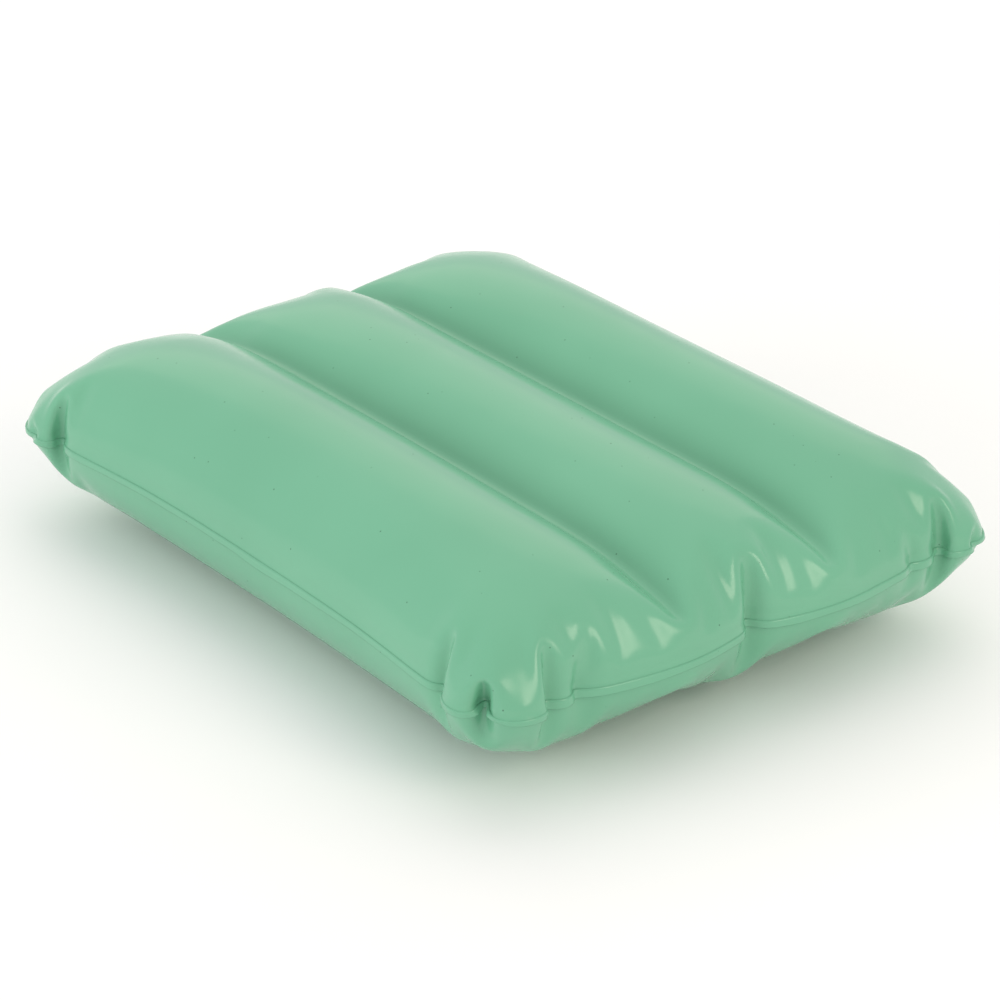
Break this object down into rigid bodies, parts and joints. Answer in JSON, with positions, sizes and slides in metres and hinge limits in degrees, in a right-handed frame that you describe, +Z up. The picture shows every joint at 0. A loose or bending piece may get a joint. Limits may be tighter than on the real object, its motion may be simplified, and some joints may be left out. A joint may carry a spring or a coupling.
{
  "type": "inflatable pillow",
  "caption": "Inflatable vinyl camp pillow with parallel air tubes, an edge weld all round, inner beams and a push-in air valve with a tethered plug.",
  "frame": {"origin": "middle of the pillow's outline in plan, on the surface it rests on", "axes": "+X along the air tubes, away from the valve end; +Y across the tubes; +Z up"},
  "size_m": [0.4357, 0.361, 0.1113],
  "materials": {
    "skin_vinyl": "semi-gloss soft vinyl, mint green",
    "beam_vinyl": "satin soft vinyl, mint green",
    "valve_vinyl": "translucent milky moulded soft vinyl",
    "flap_vinyl": "thin clear soft vinyl",
    "plug_vinyl": "translucent milky moulded soft vinyl"
  },
  "bodies": {
    "root": {"upper_sheet": "skin_vinyl", "lower_sheet": "skin_vinyl", "beam_left": "beam_vinyl", "beam_right": "beam_vinyl", "valve_disc": "valve_vinyl", "valve_boot": "valve_vinyl"},
    "stem": {"valve_stem": "valve_vinyl", "plug_strap": "plug_vinyl"},
    "plug": {"valve_plug": "plug_vinyl"},
    "flap": {"check_flap": "flap_vinyl"}
  },
  "joints": [
    {"name": "valve_push", "type": "slide", "parent": "root", "child": "stem", "axis": [-0.8719, 0, 0.4897], "range_m": [0, 0.013], "deforming": ["valve_boot"]},
    {"name": "plug_pull", "type": "slide", "parent": "stem", "child": "plug", "axis": [-0.8719, 0, 0.4897], "range_m": [0, 0.012], "deforming": ["plug_strap"]},
    {"name": "flap_swing", "type": "hinge", "parent": "stem", "child": "flap", "pos_m": [-0.18937, 0, 0.07044], "axis": [0, -1, 0], "range_deg": [0, 60], "stiffness_Nm_per_rad": 0.00002, "springref_deg": -17.19}
  ]
}
